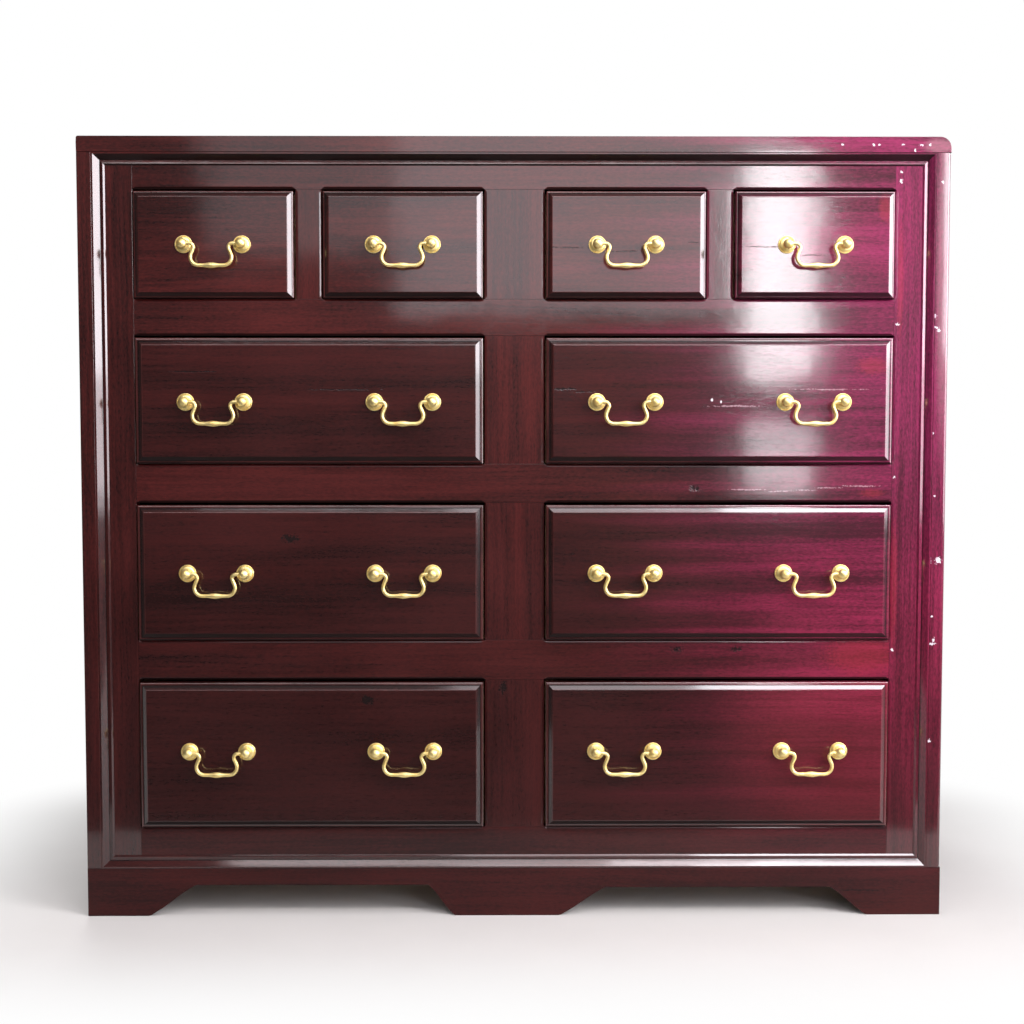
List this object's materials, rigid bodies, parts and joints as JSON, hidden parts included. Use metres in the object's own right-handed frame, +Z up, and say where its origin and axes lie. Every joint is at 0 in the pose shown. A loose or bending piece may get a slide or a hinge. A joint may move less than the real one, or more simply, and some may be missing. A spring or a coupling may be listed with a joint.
{
  "type": "chest of drawers",
  "caption": "Glossy dark mahogany chest of drawers: small drawers over wide ones, moulded fronts, brass swan-neck bail handles, beaded frame and cut-out feet.",
  "frame": {"origin": "on the floor, under the middle of the whole chest with its handles", "axes": "+X to the right seen from the front, +Y to the back, +Z up; the drawers open towards -Y"},
  "size_m": [1.203, 0.5432, 1.088],
  "materials": {
    "mahogany": "glossy dark red-brown varnish",
    "drawer_lining": "bare pale secondary wood",
    "back_wood": "unfinished brown boards",
    "brass": "polished brass"
  },
  "bodies": {
    "case": {"top_board": "mahogany", "left_side": "mahogany", "right_side": "mahogany", "back_panel": "back_wood", "bottom_board": "drawer_lining", "dust_board_1": "drawer_lining", "dust_board_2": "drawer_lining", "dust_board_3": "drawer_lining", "left_stile": "mahogany", "right_stile": "mahogany", "top_rail": "mahogany", "rail_1": "mahogany", "rail_2": "mahogany", "rail_3": "mahogany", "bottom_rail": "mahogany", "centre_muntin_1": "mahogany", "centre_muntin_2": "mahogany", "centre_muntin_3": "mahogany", "centre_muntin_4": "mahogany", "left_small_muntin": "mahogany", "right_small_muntin": "mahogany", "front_moulding": "mahogany", "base_front": "mahogany"},
    "small_drawer_1": {"small_drawer_1_front": "mahogany", "small_drawer_1_box": "drawer_lining"},
    "small_drawer_2": {"small_drawer_2_front": "mahogany", "small_drawer_2_box": "drawer_lining"},
    "small_drawer_3": {"small_drawer_3_front": "mahogany", "small_drawer_3_box": "drawer_lining"},
    "small_drawer_4": {"small_drawer_4_front": "mahogany", "small_drawer_4_box": "drawer_lining"},
    "upper_left_drawer": {"upper_left_drawer_front": "mahogany", "upper_left_drawer_box": "drawer_lining"},
    "upper_right_drawer": {"upper_right_drawer_front": "mahogany", "upper_right_drawer_box": "drawer_lining"},
    "middle_left_drawer": {"middle_left_drawer_front": "mahogany", "middle_left_drawer_box": "drawer_lining"},
    "middle_right_drawer": {"middle_right_drawer_front": "mahogany", "middle_right_drawer_box": "drawer_lining"},
    "lower_left_drawer": {"lower_left_drawer_front": "mahogany", "lower_left_drawer_box": "drawer_lining"},
    "lower_right_drawer": {"lower_right_drawer_front": "mahogany", "lower_right_drawer_box": "drawer_lining"},
    "small_drawer_1_bail": {"small_drawer_1_bail": "brass"},
    "small_drawer_2_bail": {"small_drawer_2_bail": "brass"},
    "small_drawer_3_bail": {"small_drawer_3_bail": "brass"},
    "small_drawer_4_bail": {"small_drawer_4_bail": "brass"},
    "upper_left_drawer_bail_left": {"upper_left_drawer_bail_left": "brass"},
    "upper_left_drawer_bail_right": {"upper_left_drawer_bail_right": "brass"},
    "upper_right_drawer_bail_left": {"upper_right_drawer_bail_left": "brass"},
    "upper_right_drawer_bail_right": {"upper_right_drawer_bail_right": "brass"},
    "middle_left_drawer_bail_left": {"middle_left_drawer_bail_left": "brass"},
    "middle_left_drawer_bail_right": {"middle_left_drawer_bail_right": "brass"},
    "middle_right_drawer_bail_left": {"middle_right_drawer_bail_left": "brass"},
    "middle_right_drawer_bail_right": {"middle_right_drawer_bail_right": "brass"},
    "lower_left_drawer_bail_left": {"lower_left_drawer_bail_left": "brass"},
    "lower_left_drawer_bail_right": {"lower_left_drawer_bail_right": "brass"},
    "lower_right_drawer_bail_left": {"lower_right_drawer_bail_left": "brass"},
    "lower_right_drawer_bail_right": {"lower_right_drawer_bail_right": "brass"}
  },
  "joints": [
    {"name": "small_drawer_1_slide", "type": "slide", "parent": "case", "child": "small_drawer_1", "axis": [0, -1, 0], "range_m": [0, 0.36]},
    {"name": "small_drawer_2_slide", "type": "slide", "parent": "case", "child": "small_drawer_2", "axis": [0, -1, 0], "range_m": [0, 0.36]},
    {"name": "small_drawer_3_slide", "type": "slide", "parent": "case", "child": "small_drawer_3", "axis": [0, -1, 0], "range_m": [0, 0.36]},
    {"name": "small_drawer_4_slide", "type": "slide", "parent": "case", "child": "small_drawer_4", "axis": [0, -1, 0], "range_m": [0, 0.36]},
    {"name": "upper_left_drawer_slide", "type": "slide", "parent": "case", "child": "upper_left_drawer", "axis": [0, -1, 0], "range_m": [0, 0.36]},
    {"name": "upper_right_drawer_slide", "type": "slide", "parent": "case", "child": "upper_right_drawer", "axis": [0, -1, 0], "range_m": [0, 0.36]},
    {"name": "middle_left_drawer_slide", "type": "slide", "parent": "case", "child": "middle_left_drawer", "axis": [0, -1, 0], "range_m": [0, 0.36]},
    {"name": "middle_right_drawer_slide", "type": "slide", "parent": "case", "child": "middle_right_drawer", "axis": [0, -1, 0], "range_m": [0, 0.36]},
    {"name": "lower_left_drawer_slide", "type": "slide", "parent": "case", "child": "lower_left_drawer", "axis": [0, -1, 0], "range_m": [0, 0.36]},
    {"name": "lower_right_drawer_slide", "type": "slide", "parent": "case", "child": "lower_right_drawer", "axis": [0, -1, 0], "range_m": [0, 0.36]},
    {"name": "small_drawer_1_bail_swing", "type": "hinge", "parent": "small_drawer_1", "child": "small_drawer_1_bail", "pos_m": [-0.415, -0.26485, 0.94], "axis": [-1, 0, 0], "range_deg": [-18, 100]},
    {"name": "small_drawer_2_bail_swing", "type": "hinge", "parent": "small_drawer_2", "child": "small_drawer_2_bail", "pos_m": [-0.154, -0.26485, 0.94], "axis": [-1, 0, 0], "range_deg": [-18, 100]},
    {"name": "small_drawer_3_bail_swing", "type": "hinge", "parent": "small_drawer_3", "child": "small_drawer_3_bail", "pos_m": [0.154, -0.26485, 0.94], "axis": [-1, 0, 0], "range_deg": [-18, 100]},
    {"name": "small_drawer_4_bail_swing", "type": "hinge", "parent": "small_drawer_4", "child": "small_drawer_4_bail", "pos_m": [0.415, -0.26485, 0.94], "axis": [-1, 0, 0], "range_deg": [-18, 100]},
    {"name": "upper_left_drawer_bail_left_swing", "type": "hinge", "parent": "upper_left_drawer", "child": "upper_left_drawer_bail_left", "pos_m": [-0.415, -0.26485, 0.72375], "axis": [-1, 0, 0], "range_deg": [-18, 100]},
    {"name": "upper_left_drawer_bail_right_swing", "type": "hinge", "parent": "upper_left_drawer", "child": "upper_left_drawer_bail_right", "pos_m": [-0.154, -0.26485, 0.72375], "axis": [-1, 0, 0], "range_deg": [-18, 100]},
    {"name": "upper_right_drawer_bail_left_swing", "type": "hinge", "parent": "upper_right_drawer", "child": "upper_right_drawer_bail_left", "pos_m": [0.154, -0.26485, 0.72375], "axis": [-1, 0, 0], "range_deg": [-18, 100]},
    {"name": "upper_right_drawer_bail_right_swing", "type": "hinge", "parent": "upper_right_drawer", "child": "upper_right_drawer_bail_right", "pos_m": [0.415, -0.26485, 0.72375], "axis": [-1, 0, 0], "range_deg": [-18, 100]},
    {"name": "middle_left_drawer_bail_left_swing", "type": "hinge", "parent": "middle_left_drawer", "child": "middle_left_drawer_bail_left", "pos_m": [-0.415, -0.26485, 0.48575], "axis": [-1, 0, 0], "range_deg": [-18, 100]},
    {"name": "middle_left_drawer_bail_right_swing", "type": "hinge", "parent": "middle_left_drawer", "child": "middle_left_drawer_bail_right", "pos_m": [-0.154, -0.26485, 0.48575], "axis": [-1, 0, 0], "range_deg": [-18, 100]},
    {"name": "middle_right_drawer_bail_left_swing", "type": "hinge", "parent": "middle_right_drawer", "child": "middle_right_drawer_bail_left", "pos_m": [0.154, -0.26485, 0.48575], "axis": [-1, 0, 0], "range_deg": [-18, 100]},
    {"name": "middle_right_drawer_bail_right_swing", "type": "hinge", "parent": "middle_right_drawer", "child": "middle_right_drawer_bail_right", "pos_m": [0.415, -0.26485, 0.48575], "axis": [-1, 0, 0], "range_deg": [-18, 100]},
    {"name": "lower_left_drawer_bail_left_swing", "type": "hinge", "parent": "lower_left_drawer", "child": "lower_left_drawer_bail_left", "pos_m": [-0.415, -0.26485, 0.235], "axis": [-1, 0, 0], "range_deg": [-18, 100]},
    {"name": "lower_left_drawer_bail_right_swing", "type": "hinge", "parent": "lower_left_drawer", "child": "lower_left_drawer_bail_right", "pos_m": [-0.154, -0.26485, 0.235], "axis": [-1, 0, 0], "range_deg": [-18, 100]},
    {"name": "lower_right_drawer_bail_left_swing", "type": "hinge", "parent": "lower_right_drawer", "child": "lower_right_drawer_bail_left", "pos_m": [0.154, -0.26485, 0.235], "axis": [-1, 0, 0], "range_deg": [-18, 100]},
    {"name": "lower_right_drawer_bail_right_swing", "type": "hinge", "parent": "lower_right_drawer", "child": "lower_right_drawer_bail_right", "pos_m": [0.415, -0.26485, 0.235], "axis": [-1, 0, 0], "range_deg": [-18, 100]}
  ]
}
